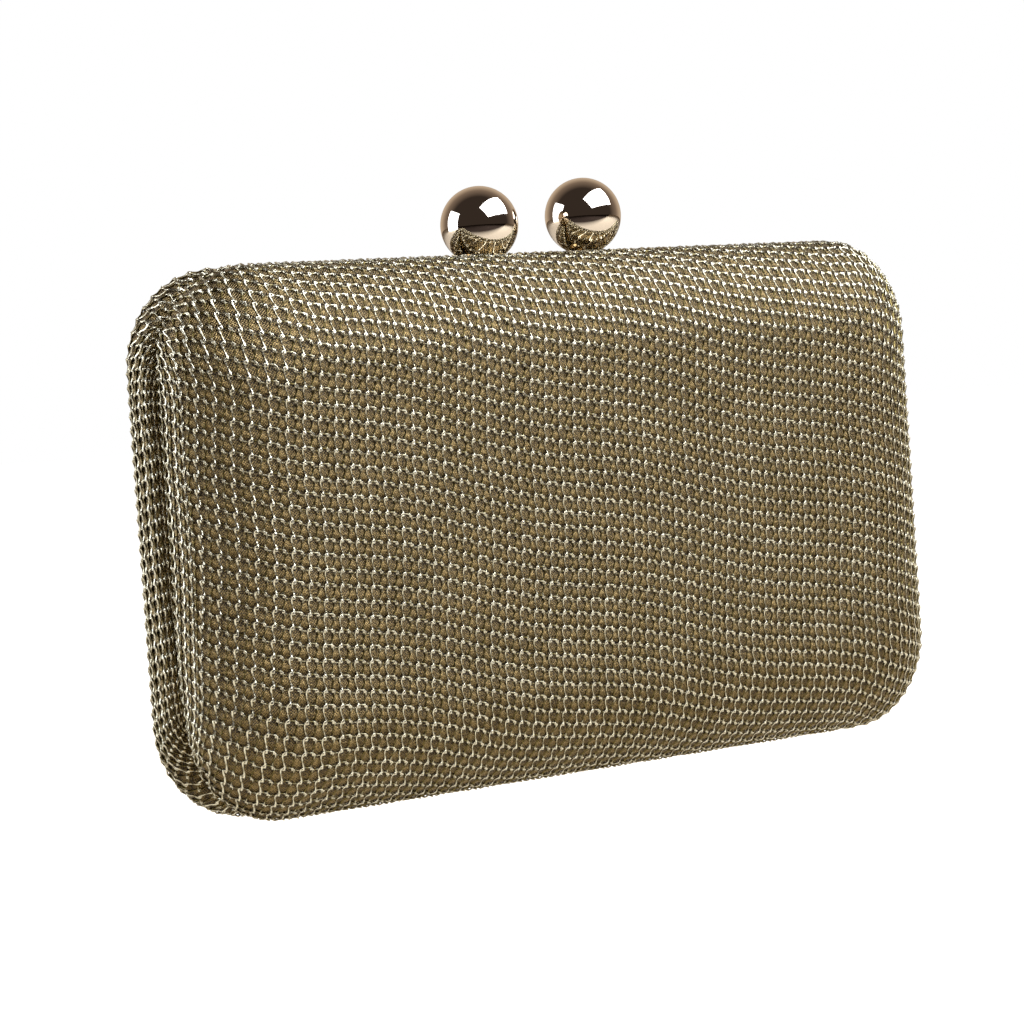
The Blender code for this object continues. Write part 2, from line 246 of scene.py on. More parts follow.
@dataclass(frozen=True)
class KnitChart:
    """How the knit's wales and courses lie on the cloth: leaning, a little wavy, drawn together at the sides.

    Distances are in metres. The stitch plane has wales along X and courses along Y, as on the needles.
    """

    wale: float = 3.9 * MM
    course: float = 3.12 * MM
    skew: float = -0.19
    lean: float = 0.06
    course_wave: tuple[float, float, float] = (0.7 * MM, 62 * MM, 0.8)
    wale_wave: tuple[float, float, float] = (0.5 * MM, 47 * MM, 2.1)
    side_edge: float = 106 * MM
    side_squeeze: float = 0.5

    def wave(self, tree: Tree, along: Any, shape: tuple[float, float, float]) -> Node:
        """Adds a sideways wave: height, length and phase, against a distance."""
        height, length, phase = shape
        turn = calc(tree, "MULTIPLY_ADD", along, math.tau / length, phase)
        sine = calc(tree, "SINE", turn)
        return calc(tree, "MULTIPLY", sine, height)

    def squeeze(self, tree: Tree, u: Any, factor: float) -> Node:
        """Adds the change of pitch past the side edges, by a factor."""
        low = calc(tree, "MINIMUM", u, self.side_edge)
        kept = calc(tree, "MAXIMUM", low, -self.side_edge)
        past = calc(tree, "SUBTRACT", u, kept)
        return calc(tree, "MULTIPLY_ADD", past, factor, kept)

    def to_chart(self, tree: Tree, x: Any, y: Any) -> tuple[Node, Node]:
        """Adds the nodes that lay the stitch plane on the chart.

        Args:
            tree: the tree that gets them.
            x: the place across the wales.
            y: the place across the courses.

        Returns:
            The chart's u and v, in metres from the middle of the face.
        """
        slid = calc(tree, "MULTIPLY_ADD", x, self.skew, y)
        v = calc(tree, "ADD", slid, self.wave(tree, x, self.course_wave))
        leant = calc(tree, "MULTIPLY_ADD", v, self.lean, x)
        wavy = calc(tree, "ADD", leant, self.wave(tree, v, self.wale_wave))
        return self.squeeze(tree, wavy, self.side_squeeze), v

    def puffs(self, tree: Tree, chart: Any) -> Node:
        """Adds a height: 1 in the meshes between two loops, lower inside the loops, and 0 under the knots.

        Args:
            tree: the material's tree.
            chart: the cloth's chart, as its UV map.

        Returns:
            The node that gives the height.
        """
        place = calc_vector(tree, "SUBTRACT", chart, (0.5, 0.5, 0.0))
        part = split(tree, scaled(tree, place, CHART_SPAN))
        v = part[1]
        wavy = self.squeeze(tree, part[0], 1 / self.side_squeeze)
        leant = calc(tree, "SUBTRACT", wavy, self.wave(tree, v, self.wale_wave))
        x = calc(tree, "MULTIPLY_ADD", v, -self.lean, leant)
        slid = calc(tree, "SUBTRACT", v, self.wave(tree, x, self.course_wave))
        y = calc(tree, "MULTIPLY_ADD", x, -self.skew, slid)
        across = calc(tree, "MULTIPLY", x, math.tau / self.wale)
        down = calc(tree, "MULTIPLY", y, math.tau / self.course)
        wales = calc(tree, "COSINE", across)
        courses = calc(tree, "COSINE", down)
        columns = calc(tree, "MULTIPLY_ADD", wales, 0.38, 0.62)
        rows = calc(tree, "MULTIPLY_ADD", courses, 0.5, 0.5)
        both = calc(tree, "MULTIPLY", columns, rows)
        return calc(tree, "POWER", both, 0.6)


# ---------------------------------------------------------------- finishes


@dataclass(frozen=True)
class MetallicYarn:
    """Slit metallised film wound round a core thread, as in lurex knitting yarn.

    To the eye it is a fine wire, thicker where one loop pulls on the next and the film bunches up. Its colour
    is painted pale gold there and on the legs that lean down to the right, as a painted glint, and dull olive
    gold in between, as painted shade. Its winding breaks the colour into dashes.
    """

    # light is the colour of the painted glint, and dark is the colour of the painted shade between the
    # glints.
    light: str = "#efe8cc"
    dark: str = "#6f6236"
    roughness: float = 0.25
    twist_mm: float = 0.9
    bump_mm: float = 0.05

    def build(self) -> Material:
        """Makes the yarn's material, which reads the strand attributes that the knit stores."""
        material, tree, shader = new_material("metallic_yarn")
        tone = add(tree, "ShaderNodeAttribute", attribute_name="tone")
        bunched = add(tree, "ShaderNodeAttribute", attribute_name="bunched")
        strand = add(tree, "ShaderNodeAttribute", attribute_name="strand")
        turn = calc(tree, "MULTIPLY", strand.outputs["Fac"], math.tau / (self.twist_mm * MM))
        winding = calc(tree, "SINE", turn)
        ridge = calc(tree, "MULTIPLY_ADD", winding, 0.5, 0.5)
        # Painted glint and shade: the stored share paints the yarn light at the knots and on the
        # right-leaning legs, and olive between them. It is added to the random tone of each stitch and to the
        # bands of the winding.
        tone_and_painted_glint = calc(tree, "MULTIPLY_ADD", tone.outputs["Fac"], 0.3, bunched.outputs["Fac"])
        shade = calc(tree, "MULTIPLY_ADD", ridge, 0.15, tone_and_painted_glint)
        colour = ramp(tree, shade, (0.3, self.dark), (1.15 / 1.2, self.light))
        bump = emboss(tree, ridge, 0.6, self.bump_mm)
        feed(tree, shader, {"Base Color": colour, "Normal": bump, "Metallic": 0.92,
                            "Roughness": self.roughness})
        return material


@dataclass(frozen=True)
class GoldLame:
    """Plain-woven lame: a dark bronze ground with flat metallised weft under clear lacquer.

    To the eye it is a dull brown gold with a woven grid under half a millimetre, in which single threads
    sparkle. It puffs up a little in each mesh of the knit that is stretched over it, and its colour is
    painted darker where the puffs sink inside the loops and under the knots, as painted shade.
    """

    ground: str = "#130c05"
    weft: str = "#a58b55"
    thread_mm: float = 0.42
    bump_mm: float = 0.1
    puff_mm: float = 0.45
    grain_mm: float = 0.4
    cloud_mm: float = 14.0
    weave_turn: float = math.radians(40)
    roughness: float = 0.24
    uneven: float = 0.12
    lacquer: float = 0.35

    def build(self, knit: KnitChart) -> Material:
        """Makes the cloth's material, in the piece's own cloth coordinates.

        Args:
            knit: where the meshes of the knit lie.

        Returns:
            The material.
        """
        material, tree, shader = new_material("gold_lame")
        chart = add(tree, "ShaderNodeUVMap", uv_map=CHART_UV)
        turns = CHART_SPAN / (self.thread_mm * MM) * math.pi
        turned_chart = add(tree, "ShaderNodeMapping",
                           {"Vector": chart, "Rotation": (0.0, 0.0, self.weave_turn),
                            "Scale": (turns, turns, 0.0)})
        threads = split(tree, calc_vector(tree, "SINE", turned_chart))
        weave = calc(tree, "MULTIPLY", threads[0], threads[1])
        height = calc(tree, "ABSOLUTE", weave)
        grain = noise(tree, chart, CHART_SPAN / (self.grain_mm * MM), 2.0)
        cloud = noise(tree, chart, CHART_SPAN / (self.cloud_mm * MM), 3.0)
        mixed = calc(tree, "MULTIPLY_ADD", grain.outputs[0], 2.2, height)
        worn = calc(tree, "MULTIPLY_ADD", cloud.outputs[0], 0.3, mixed)
        puff = knit.puffs(tree, chart)
        # Painted shade: the cloth's colour is darker inside the loops and under the knots, where the puffs
        # sink. This is laid on top of the woven grid and the random clouding.
        shaded = calc(tree, "MULTIPLY_ADD", puff, 0.9, worn)
        share = calc(tree, "DIVIDE", shaded, 3.5)
        colour = ramp(tree, share, (0.42, self.ground), (0.86, self.weft))
        soft = emboss(tree, puff, 1.0, self.puff_mm)
        bump = emboss(tree, mixed, 0.9, self.bump_mm, soft)
        rough = add(tree, "ShaderNodeMapRange",
                    {"Value": grain.outputs[0], "From Min": 0.3, "From Max": 0.7,
                     "To Min": self.roughness - self.uneven, "To Max": self.roughness + self.uneven})
        feed(tree, shader, {"Base Color": colour, "Normal": bump, "Roughness": rough, "Metallic": 0.9,
                            "Coat Weight": self.lacquer, "Coat Roughness": 0.2, "Coat Normal": bump})
        return material


@dataclass(frozen=True)
class PlatedMetal:
    """Pressed brass with pale gold electroplating, polished.

    To the eye it mirrors its surroundings in a warm pale gold, with a faint haze of fine scratches.
    """

    name: str
    colour: str
    roughness: float
    scratch_mm: float = 2.0
    haze: float = 0.05

    def build(self) -> Material:
        """Makes the metal's material, in Object coordinates."""
        material, tree, shader = new_material(self.name)
        stretched = add(tree, "ShaderNodeMapping", {"Vector": own_place(tree), "Scale": (1.0, 1.0, 6.0)})
        scratches = noise(tree, stretched, 1 / (self.scratch_mm * MM), 6.0, Roughness=0.7)
        rough = add(tree, "ShaderNodeMapRange",
                    {"Value": scratches.outputs[0], "To Min": self.roughness,
                     "To Max": self.roughness + self.haze})
        bump = emboss(tree, scratches.outputs[0], 0.05, 0.01)
        feed(tree, shader, {"Roughness": rough, "Normal": bump, "Base Color": srgb(self.colour),
                            "Metallic": 1.0})
        return material


@dataclass(frozen=True)
class Satin:
    """Polyester lining satin, glued on card.

    To the eye it is a smooth champagne cloth with a soft sheen along its floats, and no thread to be counted.
    """

    colour: str = "#b79a6c"
    shade: str = "#a2865a"
    thread_mm: float = 0.35  # coarser than the real 0.12, so that the weave shows at all
    bump_mm: float = 0.03

    def build(self) -> Material:
        """Makes the satin's material, in the piece's own cloth coordinates."""
        material, tree, shader = new_material("lining_satin")
        chart = add(tree, "ShaderNodeUVMap", uv_map=CHART_UV)
        span = CHART_SPAN / (self.thread_mm * MM)
        floats = add(tree, "ShaderNodeMapping", {"Vector": chart, "Scale": (span * 0.2, span, 1.0)})
        weave = noise(tree, floats, 1.0, 2.0)
        colour = ramp(tree, weave.outputs[0], (0.3, self.shade), (0.7, self.colour))
        bump = emboss(tree, weave.outputs[0], 0.5, self.bump_mm)
        feed(tree, shader, {"Base Color": colour, "Normal": bump, "Roughness": 0.38,
                            "Sheen Weight": 0.35, "Sheen Roughness": 0.3, "Anisotropic": 0.4})
        return material


@dataclass(frozen=True)
class Wadding:
    """Thin upholstery sponge. To the eye it is off-white, matt and full of small pores."""

    colour: str = "#e6dfcd"
    pore: str = "#b9ae94"
    pore_mm: float = 0.7

    def build(self) -> Material:
        """Makes the sponge's material, in Object coordinates."""
        material, tree, shader = new_material("sponge_wadding")
        pores = add(tree, "ShaderNodeTexVoronoi",
                    {"Vector": own_place(tree), "Scale": 1 / (self.pore_mm * MM)})
        colour = ramp(tree, pores.outputs["Distance"], (0.1, self.pore), (0.5, self.colour))
        bump = emboss(tree, pores.outputs["Distance"], 0.7, 0.2)
        feed(tree, shader, {"Base Color": colour, "Normal": bump, "Roughness": 0.95})
        return material


@dataclass(frozen=True)
class MouldedShell:
    """Black vacuum-formed polystyrene. To the eye it is matt, with the fine pebble of its mould."""

    colour: str = "#26231f"
    grain_mm: float = 0.6

    def build(self) -> Material:
        """Makes the plastic's material, in Object coordinates."""
        material, tree, shader = new_material("moulded_shell")
        pebble = noise(tree, own_place(tree), 1 / (self.grain_mm * MM), 3.0)
        rough = add(tree, "ShaderNodeMapRange", {"Value": pebble.outputs[0], "To Min": 0.5, "To Max": 0.7})
        bump = emboss(tree, pebble.outputs[0], 0.4, 0.05)
        feed(tree, shader, {"Roughness": rough, "Normal": bump, "Base Color": srgb(self.colour)})
        return material


@dataclass(frozen=True)
class SewingThread:
    """Spun polyester sewing thread. To the eye it is matt gold-beige, with the twist of its two plies."""

    colour: str = "#c9ad78"
    shade: str = "#8d7446"
    ply_mm: float = 0.5

    def build(self) -> Material:
        """Makes the thread's material, in Object coordinates."""
        material, tree, shader = new_material("sewing_thread")
        plies = add(tree, "ShaderNodeTexWave",
                    {"Vector": own_place(tree), "Scale": 1 / (self.ply_mm * MM), "Distortion": 1.0},
                    bands_direction="DIAGONAL")
        colour = ramp(tree, plies.outputs["Fac"], (0.2, self.shade), (0.8, self.colour))
        feed(tree, shader, {"Base Color": colour, "Roughness": 0.7})
        return material


# ---------------------------------------------------------------- the pillow's shape


@dataclass(frozen=True)
class PillowShape:
    """The outer shape of one half: a rounded rectangle whose face rolls over its edge into the seam groove.

    The cloth's chart is the half laid out flat: the flat of the face in the middle, and round it the length
    of cloth that runs over the edge and into the groove.
    """

    width: float
    height: float
    half_depth: float
    groove_half: float
    corner_radius: float = 20.8 * MM
    face_rounding: float = 22.4 * MM
    face_power: float = 1.7
    crown: tuple[float, float] = (6.0 * MM, 7.6 * MM)
    groove_depth: float = 5.5 * MM
    rim_inset: float = 8.8 * MM
    corner_tightening: float = 0.55
    flange_squeeze: float = 0.8
    least_turn: float = 0.4 * MM
    dome: float = 0.5 * MM
    roll: float = 2.2 * MM
    roll_inset: tuple[float, float] = (3.4 * MM, 5.0 * MM)
    roll_height: tuple[float, float] = (14 * MM, 34 * MM)
    corner_steps: int = 18
    side_steps: tuple[int, int] = (40, 18)
    face_steps: int = 20
    seam_steps: int = 8
    cap_loops: int = 12

    @classmethod
    def from_frame(cls) -> PillowShape:
        """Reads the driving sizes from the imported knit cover's box."""
        low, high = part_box(Half.FRONT.node("knit_cover"))
        return cls(high[0] - low[0], high[2], -low[1], -high[1])

    @property
    def cap(self) -> tuple[float, float, float]:
        """Half width, half height and corner radius of the flat of the face."""
        return (
            self.width / 2 - self.face_rounding,
            self.height / 2 - self.face_rounding,
            self.corner_radius - self.corner_tightening * self.face_rounding,
        )

    def profile(self, depth: float) -> np.ndarray:
        """The section of a layer, from the flat of the face to the rim in the groove.

        Args:
            depth: how far the layer lies below the outer surface.

        Returns:
            An array of (inset, distance from the seam plane).
        """
        flange_y = self.groove_half + self.flange_squeeze * depth
        turn_y = max(self.crown[0], flange_y + self.least_turn)
        seam = (self.groove_depth - depth, turn_y - flange_y)
        face = (self.face_rounding - depth, self.half_depth - self.crown[1] - depth)
        points = []
        for step in range(self.face_steps, -1, -1):
            angle = math.pi / 2 * step / self.face_steps
            out = max(math.cos(angle), 0.0) ** (2 / self.face_power)
            up = math.sin(angle) ** (2 / self.face_power)
            points.append((self.face_rounding - face[0] * out, self.crown[1] + face[1] * up))
        for step in range(self.seam_steps + 1):
            angle = math.pi / 2 * step / self.seam_steps
            points.append((self.groove_depth - seam[0] * math.cos(angle), turn_y - seam[1] * math.sin(angle)))
        points.append((self.rim_inset, flange_y))
        return np.array(points)

    def flat_size(self, section: np.ndarray) -> tuple[float, float]:
        """Width and height of the flat cloth that a section of this shape takes."""
        reach = float(np.linalg.norm(np.diff(section, axis=0), axis=1).sum())
        return 2 * (self.cap[0] + reach), 2 * (self.cap[1] + reach)

    def stations(self) -> list[tuple[int, float]]:
        """Places round the outline, as (part, fraction): even parts are corners, and odd ones are sides."""
        places = []
        for corner in range(4):
            places += [(2 * corner, k / self.corner_steps) for k in range(self.corner_steps)]
            steps = self.side_steps[corner % 2]
            places += [(2 * corner + 1, k / steps) for k in range(steps)]
        return places

    def walk(self, edge: tuple[float, float], radius: float) -> np.ndarray:
        """A rounded rectangle, one point for each station, from the right side anticlockwise.

        Args:
            edge: its half width and half height.
            radius: its corner radius.

        Returns:
            An array of (x, height above the middle).
        """
        cap_x, cap_z, cap_radius = self.cap
        straight = (cap_x - cap_radius, cap_z - cap_radius)
        centre = (edge[0] - radius, edge[1] - radius)
        runs = (centre[1] - straight[1], radius * math.pi / 2, centre[0] - straight[0])
        points = []
        for part, share in self.stations():
            corner = part // 2
            upright = corner % 2 == 0
            sx, sz = ((1, 1), (-1, 1), (-1, -1), (1, -1))[corner]
            along = (share if upright else 1 - share) * sum(runs)
            if part % 2 and upright:
                point = (straight[0] * (1 - 2 * share), edge[1])
            elif part % 2:
                point = (edge[0], straight[1] * (1 - 2 * share))
            elif along < runs[0]:
                point = (edge[0], straight[1] + along)
            elif along < runs[0] + runs[1]:
                angle = (along - runs[0]) / radius
                point = (centre[0] + radius * math.cos(angle), centre[1] + radius * math.sin(angle))
            else:
                point = (centre[0] - (along - runs[0] - runs[1]), edge[1])
            points.append((sx * point[0], sz * point[1]))
        return np.array(points)

    def outline(self, inset: float) -> np.ndarray:
        """The bag's outline, this far in from its widest line."""
        edge = (self.width / 2 - inset, self.height / 2 - inset)
        return self.walk(edge, self.corner_radius - self.corner_tightening * inset)

    def chart_loop(self, reach: float) -> np.ndarray:
        """The flat cloth's outline, this far outside the flat of the face."""
        cap_x, cap_z, cap_radius = self.cap
        return self.walk((cap_x + reach, cap_z + reach), cap_radius + reach)

    def rolled(self, inset: float, away: float, z: np.ndarray) -> np.ndarray:
        """How far the padded edge rolls over the frame towards the seam, above the hinges.

        Args:
            inset: the points' inset.
            away: the points' distance from the seam plane.
            z: the points' heights.

        Returns:
            The distance for each point.
        """
        low, high = self.roll_height
        clear = np.clip((z - low) / (high - low), 0.0, 1.0)
        near = min(max((self.crown[1] + 2 * MM - away) / (4 * MM), 0.0), 1.0)
        first, last = self.roll_inset
        outer = min(max((last - inset) / (last - first), 0.0), 1.0)
        return self.roll * clear * clear * (3 - 2 * clear) * near * near * (3 - 2 * near) * outer

    def skin(self, section: np.ndarray, half: Half, dome: float) -> tuple[np.ndarray, np.ndarray]:
        """One skin of a layer, as loops of points from the middle of the face out to the rim.

        Args:
            section: the layer's (inset, distance from the seam plane) points.
            half: the half that it belongs to.
            dome: how far the middle of the face stands up.

        Returns:
            The points, as loops by stations by xyz, and their chart places, as loops by stations by uv.
        """
        cap_x, cap_z, _ = self.cap
        edge, flat_edge = self.outline(section[0][0]), self.chart_loop(0.0)
        ridge = np.stack([np.clip(edge[:, 0], cap_z - cap_x, cap_x - cap_z), np.zeros(len(edge))], axis=1)
        loops, charts = [], []
        for k in range(self.cap_loops):
            share = k / self.cap_loops
            flat = ridge + (edge - ridge) * share
            across, up = (np.clip(1 - (flat[:, k] / cap) ** 2, 0, 1) for k, cap in enumerate((cap_x, cap_z)))
            rise = dome * across * up
            y = half.value * (section[0][1] + rise)
            loops.append(np.stack([flat[:, 0], y, flat[:, 1] + self.height / 2], axis=1))
            charts.append(ridge + (flat_edge - ridge) * share)
        steps = np.linalg.norm(np.diff(section, axis=0), axis=1)
        reaches = np.concatenate([[0.0], np.cumsum(steps)])
        for (inset, away), reach in zip(section, reaches):
            loop = self.outline(inset)
            z = loop[:, 1] + self.height / 2
            y = half.value * (away - self.rolled(inset, away, z))
            loops.append(np.stack([loop[:, 0], y, z], axis=1))
            charts.append(self.chart_loop(reach))
        return np.array(loops), np.array(charts)


def quads(first: list, second: list) -> Any:
    """The corners of each face between two closed loops, in order round the face."""
    return zip(first, first[1:] + first[:1], second[1:] + second[:1], second)


def link_mesh(name: str, bm: bmesh.types.BMesh, recalc: bool = True) -> Object:
    """Turns a bmesh into a smooth-shaded object at the origin.

    Args:
        name: the piece's name.
        bm: its shape, in place.
        recalc: whether to turn its faces outwards.

    Returns:
        The new object.
    """
    if recalc:
        bmesh.ops.recalc_face_normals(bm, faces=bm.faces)
    mesh = bpy.data.meshes.new(name)
    bm.to_mesh(mesh)
    bm.free()
    mesh.shade_smooth()
    obj = bpy.data.objects.new(name, mesh)
    show(obj)
    return obj


def loft(name: str, skins: Sequence[tuple[np.ndarray, np.ndarray]], half: Half) -> Object:
    """Makes cloth from one skin, or a closed layer from an outer and an inner skin.

    Args:
        name: the piece's name.
        skins: one or two results of PillowShape.skin.
        half: the half that it belongs to, which says which way is out.

    Returns:
        The piece, with its chart as a UV map.
    """
    bm = bmesh.new()
    uv = bm.loops.layers.uv.new(CHART_UV)
    made = []
    for loops, charts in skins:
        verts = [[bm.verts.new(p) for p in loop] for loop in loops]
        place = {v: c for row, chart in zip(verts, charts) for v, c in zip(row, chart)}
        for first, second in zip(verts, verts[1:]):
            for a, b, c, d in quads(first, second):
                face = bm.faces.new((a, d, c, b) if half is Half.FRONT else (a, b, c, d))
                for corner in face.loops:
                    corner[uv].uv = place[corner.vert] / CHART_SPAN + 0.5
        made.append(verts)
    if len(skins) == 2:
        for corners in quads(made[0][-1], made[1][-1]):
            bm.faces.new(corners)
    bmesh.ops.remove_doubles(bm, verts=[v for rows in made for v in rows[0]], dist=1e-6)
    return link_mesh(name, bm, recalc=len(skins) == 2)


# ---------------------------------------------------------------- geometry nodes helpers


def start_tree(name: str, sockets: dict[str, str]) -> tuple[Tree, Node]:
    """Starts a Geometry Nodes tree with named inputs and one geometry output.

    Args:
        name: the tree's name.
        sockets: each input's name with its socket type.

    Returns:
        The tree and its input node.
    """
    tree = bpy.data.node_groups.new(name, "GeometryNodeTree")
    tree.interface.new_socket("Geometry", in_out="OUTPUT", socket_type="NodeSocketGeometry")
    for label, kind in sockets.items():
        tree.interface.new_socket(label, in_out="INPUT", socket_type=kind)
    return tree, add(tree, "NodeGroupInput")


def end_tree(tree: Tree, geometry: Node, material: Any) -> None:
    """Ends a tree in Realize Instances, smooth shading and Set Material."""
    real = add(tree, "GeometryNodeRealizeInstances", [geometry])
    smooth = add(tree, "GeometryNodeSetShadeSmooth", [real])
    painted = add(tree, "GeometryNodeSetMaterial", {"Geometry": smooth, "Material": material})
    add(tree, "NodeGroupOutput", [painted])


def grow(name: str, tree: Tree, values: dict[str, Any]) -> Object:
    """Runs a tree and keeps its result as a plain mesh object.

    Args:
        name: the piece's name.
        tree: the Geometry Nodes tree.
        values: a value for each named input.

    Returns:
        The finished piece, with no modifier left on it.
    """
    host = bpy.data.objects.new(name, bpy.data.meshes.new(f"{name}_seed"))
    show(host)
    modifier = host.modifiers.new("grow", "NODES")
    modifier.node_group = tree
    names = {s.name: s.identifier for s in tree.interface.items_tree if s.in_out == "INPUT"}
    for label, value in values.items():
        modifier[names[label]] = value
    evaluated = host.evaluated_get(bpy.context.evaluated_depsgraph_get())
    mesh = bpy.data.meshes.new_from_object(evaluated)
    host.modifiers.clear()
    host.data = mesh
    mesh.name = name
    return host


# ---------------------------------------------------------------- knit cover


@dataclass
class KnitCover:
    """The stretched knit: each course is one yarn whose loops hang in the loops of the course below."""

    shape: PillowShape
    yarn: Material
    chart: KnitChart
    loop_height: float = 4.2 * MM
    loop_lean: float = 0.74 * MM
    slant: float = 0.1 * MM
    flatness: float = -0.1
    rise: float = 0.26 * MM
    crest: float = 0.08 * MM
    depth: float = 0.5 * MM
    ply_radius: float = 0.115 * MM
    thinning: float = 0.3
    turn: float = 65.0
    jitter: float = 0.35 * MM
    jitter_span: float = 3.1 * MM
    points_per_stitch: int = 16
    wales: int = 74
    courses: int = 70
    bands: int = 5
    tree: Tree = field(init=False)

    def __post_init__(self) -> None:
        """Builds the tree that all the bands share."""
        self.tree = self.make_tree()

    def make_tree(self) -> Tree:
        """Builds the knitting tree.

        Returns:
            A tree that knits some courses flat, then wraps them over the guide surface.
        """
        real, whole, vector = "NodeSocketFloat", "NodeSocketInt", "NodeSocketVector"
        tree, given = start_tree("knit_courses", {
            "Guide": "NodeSocketObject", "Section": "NodeSocketObject", "First Course": whole,
            "Courses": whole, "All Courses": whole, "Wales": whole, "Points": whole, "Seed": real,
            "Stitch": vector, "Loop": vector, "Slant": vector, "Flatness": real, "Depth": real,
            "Turn": real, "Jitter": real, "Material": "NodeSocketMaterial",
        })
        g = given.outputs
        per_course = calc(tree, "MULTIPLY", g["Wales"], g["Points"])
        count = calc(tree, "MULTIPLY", per_course, g["Courses"])
        points = add(tree, "GeometryNodePoints", {"Count": count})
        index = add(tree, "GeometryNodeInputIndex")
        turns = calc(tree, "DIVIDE", index, per_course)
        row = calc(tree, "FLOOR", turns)
        share = calc(tree, "FRACT", turns)
        wale = calc(tree, "MULTIPLY", share, g["Wales"])
        course = calc(tree, "ADD", row, g["First Course"])
        stitch, loop, slant = (split(tree, g[label]) for label in ("Stitch", "Loop", "Slant"))

        phase = calc(tree, "MULTIPLY", wale, math.tau)
        double = calc(tree, "MULTIPLY", wale, 2 * math.tau)
        swing = calc(tree, "SINE", double)
        fourfold = calc(tree, "MULTIPLY", wale, 4 * math.tau)
        knots = calc(tree, "COSINE", fourfold)
        triple = calc(tree, "MULTIPLY", wale, 3 * math.tau)
        plain = calc(tree, "COSINE", phase)
        squaring = calc(tree, "COSINE", triple)
        wave = calc(tree, "MULTIPLY_ADD", squaring, g["Flatness"], plain)
        half_wales = calc(tree, "MULTIPLY_ADD", g["Wales"], -0.5, wale)
        half_courses = calc(tree, "MULTIPLY_ADD", g["All Courses"], -0.5, course)
        x0 = calc(tree, "MULTIPLY", half_wales, stitch[0])
        y0 = calc(tree, "MULTIPLY", half_courses, stitch[1])
        upright = calc(tree, "MULTIPLY_ADD", swing, loop[0], x0)
        x = calc(tree, "MULTIPLY_ADD", plain, slant[0], upright)
        y = calc(tree, "MULTIPLY_ADD", wave, loop[1], y0)
        level = calc(tree, "MULTIPLY_ADD", knots, loop[2], g["Depth"])
        away = calc(tree, "MULTIPLY_ADD", plain, slant[2], level)
        # Painted glint: this share is highest at the knots and on the legs that lean down to the right, where
        # the light catches the yarn. The yarn's material paints it lighter there, and the yarn is also drawn
        # thicker and flatter there.
        rising = calc(tree, "SINE", phase)
        leg_lean_and_glint = calc(tree, "MULTIPLY_ADD", rising, 0.28, 0.5)
        bunched = calc(tree, "MULTIPLY_ADD", knots, -0.42, leg_lean_and_glint)

        flat = add(tree, "ShaderNodeCombineXYZ", [x, y, g["Seed"]])
        near = noise(tree, flat, 1 / self.jitter_span, 1.0)
        centred = calc_vector(tree, "SUBTRACT", near.outputs["Color"], (0.5, 0.5, 0.5))
        moved = split(tree, calc_vector(tree, "ADD", scaled(tree, centred, g["Jitter"]), flat))
        spot = add(tree, "ShaderNodeCombineXYZ", self.chart.to_chart(tree, moved[0], moved[1]))
        place = calc_vector(tree, "ADD", scaled(tree, spot, 1 / CHART_SPAN), (0.5, 0.5, 0.0))

        guide = shape_of(tree, g["Guide"])
        guide_uv = carried(tree, CHART_UV, "FLOAT_VECTOR")
        position = add(tree, "GeometryNodeInputPosition")
        normal = add(tree, "GeometryNodeInputNormal")
        samples = [
            add(tree, "GeometryNodeSampleUVSurface",
                {"Mesh": guide, "Value": value, "UV Map": guide_uv,
                 "Sample UV": place}, data_type="FLOAT_VECTOR")
            for value in (position, normal)
        ]
        lift = scaled(tree, samples[1].outputs["Value"], away)
        wrapped = calc_vector(tree, "ADD", samples[0].outputs["Value"], lift)

        tone = add(tree, "ShaderNodeTexWhiteNoise",
                   {"Vector": add(tree, "ShaderNodeCombineXYZ",
                                  [calc(tree, "FLOOR", wale), course, g["Seed"]])},
                   noise_dimensions="3D")
        stored = points
        for label, kind, value in (
            ("place", "FLOAT_VECTOR", wrapped), ("out", "FLOAT_VECTOR", samples[1].outputs["Value"]),
            ("tone", "FLOAT", tone.outputs["Value"]), ("row", "FLOAT", row), ("bunched", "FLOAT", bunched),
            ("inside", "BOOLEAN", samples[0].outputs["Is Valid"]),
        ):
            stored = add(tree, "GeometryNodeStoreNamedAttribute",
                         {"Geometry": stored, "Name": label, "Value": value}, data_type=kind, domain="POINT")
        row_id = carried(tree, "row")
        inside = carried(tree, "inside", "BOOLEAN")
        outside = add(tree, "FunctionNodeBooleanMath", [inside], operation="NOT")
        kept = add(tree, "GeometryNodeDeleteGeometry",
                   {"Geometry": stored, "Selection": outside}, domain="POINT")
        curves = add(tree, "GeometryNodePointsToCurves", {"Points": kept, "Curve Group ID": row_id})
        spot = carried(tree, "place", "FLOAT_VECTOR")
        outwards = carried(tree, "out", "FLOAT_VECTOR")
        laid = add(tree, "GeometryNodeSetPosition", {"Geometry": curves, "Position": spot})
        faced = add(tree, "GeometryNodeSetCurveNormal",
                    {"Curve": laid, "Normal": outwards}, mode="FREE")
        walk = add(tree, "GeometryNodeSplineParameter")
        strand = add(tree, "GeometryNodeStoreNamedAttribute",
                     {"Geometry": faced, "Name": "strand", "Value": walk.outputs["Length"]},
                     data_type="FLOAT", domain="POINT")
        thick = carried(tree, "bunched")
        thin = calc(tree, "SUBTRACT", 1.0, thick)
        angle = calc(tree, "MULTIPLY", thin, g["Turn"])
        turned_on_edge = add(tree, "GeometryNodeSetCurveTilt", {"Curve": strand, "Tilt": angle})
        girth = calc(tree, "MULTIPLY_ADD", thin, -self.thinning, 1.0)
        even = add(tree, "GeometryNodeSetCurveRadius", {"Curve": turned_on_edge, "Radius": girth})
        section = add(tree, "GeometryNodeMeshToCurve", {0: shape_of(tree, g["Section"])})
        tube = add(tree, "GeometryNodeCurveToMesh", {"Curve": even, "Profile Curve": section})
        end_tree(tree, tube, g["Material"])
        return tree

